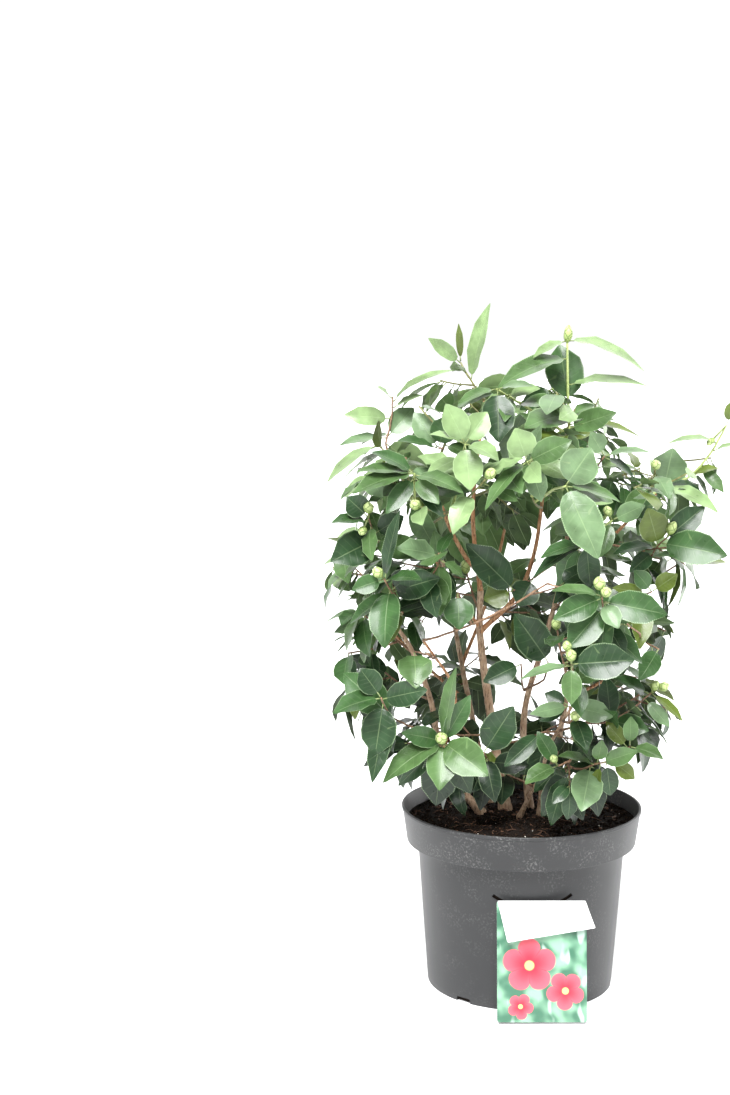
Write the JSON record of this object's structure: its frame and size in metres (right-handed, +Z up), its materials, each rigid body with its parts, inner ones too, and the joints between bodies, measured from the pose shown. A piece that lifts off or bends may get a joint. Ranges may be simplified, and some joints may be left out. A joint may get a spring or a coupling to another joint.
{
  "type": "potted camellia shrub",
  "caption": "Young evergreen camellia shrub with forked stems, glossy leaves and flower buds, in a round black nursery pot with a picture card.",
  "frame": {"origin": "centre of the pot's flat underside, where it stands on the floor", "axes": "+Z up, -Y towards the front, where the picture card hangs, +X to the right as seen from the front"},
  "size_m": [0.4664, 0.462, 0.8176],
  "materials": {
    "pot_plastic": "satin",
    "compost": "rough",
    "card_stock": "gloss",
    "bark": "rough",
    "young_bark": "satin",
    "foliage": "glossy leaves"
  },
  "bodies": {
    "root": {"pot": "pot_plastic", "soil": "compost", "card": "card_stock", "trunk": "bark", "leader_middle": "young_bark", "leader_left": "young_bark", "leader_right": "young_bark", "bough_left_high": "young_bark", "stem_left": "bark", "bough_front_left": "young_bark", "stem_right": "bark", "bough_right": "young_bark", "bough_low_right": "bark", "bough_front_right": "bark", "stem_back_left": "bark", "stem_back_right": "bark", "bough_back": "young_bark", "bough_back_left": "young_bark", "bough_back_right": "young_bark", "foliage_top_shoot": "foliage", "foliage_top_left_shoot": "foliage", "foliage_far_right_shoot": "foliage", "foliage_front_rosette": "foliage", "foliage_front_left_shoot": "foliage", "foliage_front_shoot": "foliage", "foliage_skirt_1": "foliage", "foliage_skirt_2": "foliage", "foliage_skirt_3": "foliage", "foliage_low_1": "foliage", "foliage_low_2": "foliage", "foliage_low_3": "foliage", "foliage_low_4": "foliage", "foliage_low_5": "foliage", "foliage_waist_1": "foliage", "foliage_waist_2": "foliage", "foliage_waist_3": "foliage", "foliage_waist_4": "foliage", "foliage_waist_5": "foliage", "foliage_middle_1": "foliage", "foliage_middle_2": "foliage", "foliage_middle_3": "foliage", "foliage_middle_4": "foliage", "foliage_middle_5": "foliage", "foliage_middle_6": "foliage", "foliage_upper_1": "foliage", "foliage_upper_2": "foliage", "foliage_upper_3": "foliage", "foliage_upper_4": "foliage", "foliage_upper_5": "foliage", "foliage_upper_6": "foliage", "foliage_crest_1": "foliage", "foliage_crest_2": "foliage", "foliage_crest_3": "foliage", "foliage_crest_4": "foliage", "foliage_core_1": "foliage", "foliage_core_2": "foliage", "foliage_core_high_1": "foliage", "foliage_core_high_2": "foliage"}
  },
  "joints": []
}
